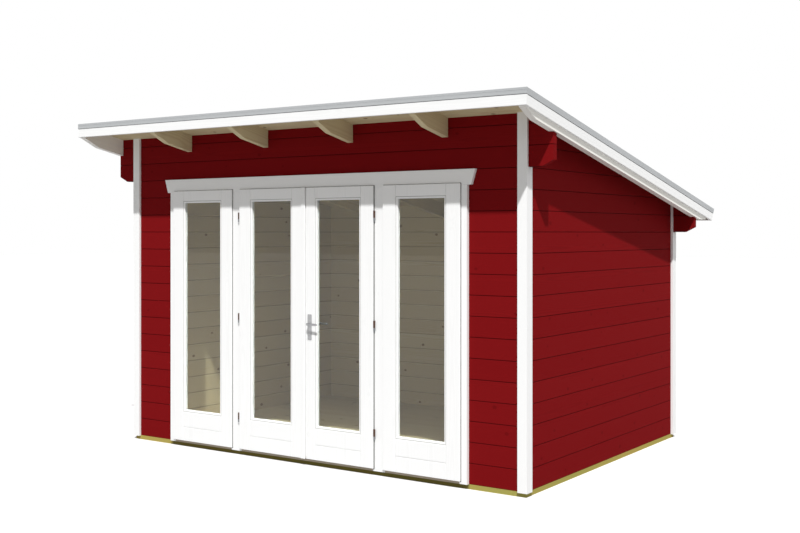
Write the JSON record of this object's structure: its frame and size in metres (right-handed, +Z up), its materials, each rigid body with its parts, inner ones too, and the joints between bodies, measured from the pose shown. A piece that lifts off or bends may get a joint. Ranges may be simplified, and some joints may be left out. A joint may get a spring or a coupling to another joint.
{
  "type": "log garden shed with mono-pitch roof",
  "caption": "Red log shed with a mono-pitch roof, white corner boards, a glazed double door that swings outwards and a fixed glazed window on each side of it.",
  "frame": {"origin": "on the ground, below the middle of the roof", "axes": "+X along the front wall to the viewer's right, +Y from front to back, +Z up"},
  "size_m": [3.941, 3.241, 2.4901],
  "materials": {
    "red_logs": "red stain outside, bare pine inside",
    "white_wood": "white satin paint",
    "pine": "bare planed pine",
    "treated_wood": "green pressure-treated timber",
    "threshold_wood": "oiled hardwood",
    "roof_felt": "mineral roofing felt",
    "grey_edge": "light grey coated strip",
    "clear_glass": "clear",
    "grey_steel": "zinc plated",
    "copper_steel": "copper brown",
    "satin_steel": "satin"
  },
  "bodies": {
    "shed": {"long_bearers": "treated_wood", "side_bearers": "treated_wood", "floor_joists": "treated_wood", "floor_boards": "pine", "front_wall_left": "red_logs", "front_wall_right": "red_logs", "front_wall_top": "red_logs", "back_wall": "red_logs", "back_wall_top": "red_logs", "left_wall": "red_logs", "right_wall": "red_logs", "inner_rafters": "pine", "left_outer_rafter": "white_wood", "right_outer_rafter": "white_wood", "roof_boards": "pine", "roof_felt": "roof_felt", "front_roof_edge": "grey_edge", "back_roof_edge": "grey_edge", "side_roof_edges": "grey_edge", "front_fascia": "white_wood", "back_fascia": "white_wood", "left_bargeboard": "white_wood", "right_bargeboard": "white_wood", "front_left_corner": "white_wood", "front_right_corner": "white_wood", "back_left_corner": "white_wood", "back_right_corner": "white_wood", "frame_jambs": "white_wood", "frame_mullions": "white_wood", "frame_head": "white_wood", "threshold": "threshold_wood", "header_board": "white_wood", "left_window_sash": "white_wood", "right_window_sash": "white_wood", "window_glass": "clear_glass", "frame_hinges": "grey_steel"},
    "left_door": {"left_door_leaf": "white_wood", "left_door_glass": "clear_glass", "meeting_strip": "white_wood", "left_door_hinges": "copper_steel"},
    "right_door": {"right_door_leaf": "white_wood", "right_door_glass": "clear_glass", "right_door_hinges": "copper_steel", "handle_plates": "satin_steel"},
    "lever": {"door_lever": "satin_steel"}
  },
  "joints": [
    {"name": "left_door_hinge", "type": "hinge", "parent": "shed", "child": "left_door", "pos_m": [-0.6165, -1.254, 1], "axis": [0, 0, -1], "range_deg": [0, 105]},
    {"name": "right_door_hinge", "type": "hinge", "parent": "shed", "child": "right_door", "pos_m": [0.6165, -1.254, 1], "axis": [0, 0, 1], "range_deg": [0, 105]},
    {"name": "lever_turn", "type": "hinge", "parent": "right_door", "child": "lever", "pos_m": [0.06, -1.2385, 1.001], "axis": [0, 1, 0], "range_deg": [0, 45], "stiffness_Nm_per_rad": 1.5, "springref_deg": -11.46}
  ]
}
